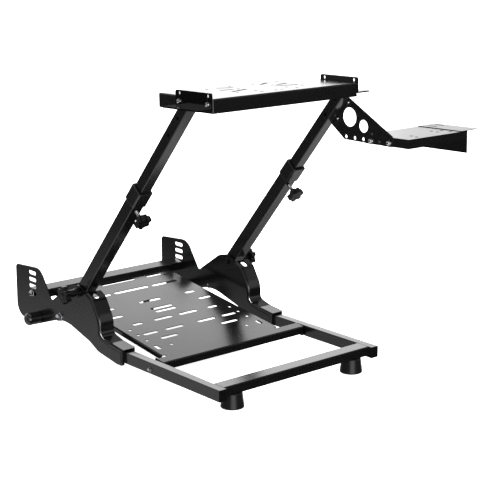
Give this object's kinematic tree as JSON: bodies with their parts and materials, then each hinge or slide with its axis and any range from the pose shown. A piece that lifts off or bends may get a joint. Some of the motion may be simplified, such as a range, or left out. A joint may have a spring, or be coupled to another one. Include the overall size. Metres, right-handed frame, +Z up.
{
  "type": "racing wheel stand",
  "caption": "Freestanding game wheel stand: low tube base, pressed side brackets, raked telescopic mast with a slotted wheel plate, hinged pedal plate and side shifter tray.",
  "frame": {"origin": "on the floor below the middle of the whole stand", "axes": "+Z up, +X to the player's right, +Y from the player towards the rear"},
  "size_m": [0.8716, 0.9736, 0.7644],
  "materials": {
    "paint": "semi-gloss black",
    "rubber": "matt",
    "zinc": "bright zinc plate",
    "plastic": "fine grain"
  },
  "bodies": {
    "base": {"left_rail": "paint", "right_rail": "paint", "front_cross_tube": "paint", "left_front_foot": "rubber", "right_front_foot": "rubber", "left_bracket": "paint", "right_bracket": "paint", "rear_bar": "paint", "left_rear_foot": "rubber", "right_rear_foot": "rubber", "left_pivot_bolt": "zinc", "right_pivot_bolt": "zinc", "left_hinge_bolt": "zinc", "right_hinge_bolt": "zinc", "left_rail_plug": "plastic", "right_rail_plug": "plastic", "left_bar_cap": "plastic", "right_bar_cap": "plastic", "left_rear_leg": "paint", "right_rear_leg": "paint"},
    "mast": {"left_lower_tube": "paint", "right_lower_tube": "paint", "left_collar": "plastic", "right_collar": "plastic"},
    "upper": {"left_upper_tube": "paint", "right_upper_tube": "paint", "left_end_angle": "paint", "right_end_angle": "paint", "wheel_plate": "paint", "shifter_arm": "paint", "shifter_tray": "paint", "shifter_plate": "paint"},
    "pedals": {"pedal_plate": "paint", "rear_cross_tube": "paint"},
    "left_height_knob": {"left_height_knob": "plastic"},
    "right_height_knob": {"right_height_knob": "plastic"},
    "left_tilt_knob": {"left_tilt_knob": "plastic"},
    "right_tilt_knob": {"right_tilt_knob": "plastic"}
  },
  "joints": [
    {"name": "mast_tilt", "type": "hinge", "parent": "base", "child": "mast", "pos_m": [-0.10425, 0.17354, 0.18516], "axis": [-1, 0, 0], "range_deg": [0, 40]},
    {"name": "mast_height", "type": "slide", "parent": "mast", "child": "upper", "axis": [0, -0.6401, 0.7683], "range_m": [-0.14, 0.08]},
    {"name": "pedal_tilt", "type": "hinge", "parent": "base", "child": "pedals", "pos_m": [-0.10425, -0.12719, 0.0445], "axis": [1, 0, 0], "range_deg": [0, 6.35]},
    {"name": "left_height_knob_turn", "type": "hinge", "parent": "mast", "child": "left_height_knob", "pos_m": [-0.36125, -0.08827, 0.42128], "axis": [0, -0.7683, -0.6401], "range_deg": [-180, 180]},
    {"name": "left_tilt_knob_turn", "type": "hinge", "parent": "base", "child": "left_tilt_knob", "pos_m": [-0.39925, 0.17354, 0.18516], "axis": [-1, 0, 0], "range_deg": [-180, 180]},
    {"name": "right_height_knob_turn", "type": "hinge", "parent": "mast", "child": "right_height_knob", "pos_m": [0.15275, -0.08827, 0.42128], "axis": [0, -0.7683, -0.6401], "range_deg": [-180, 180]},
    {"name": "right_tilt_knob_turn", "type": "hinge", "parent": "base", "child": "right_tilt_knob", "pos_m": [0.19075, 0.17354, 0.18516], "axis": [1, 0, 0], "range_deg": [-180, 180]}
  ]
}
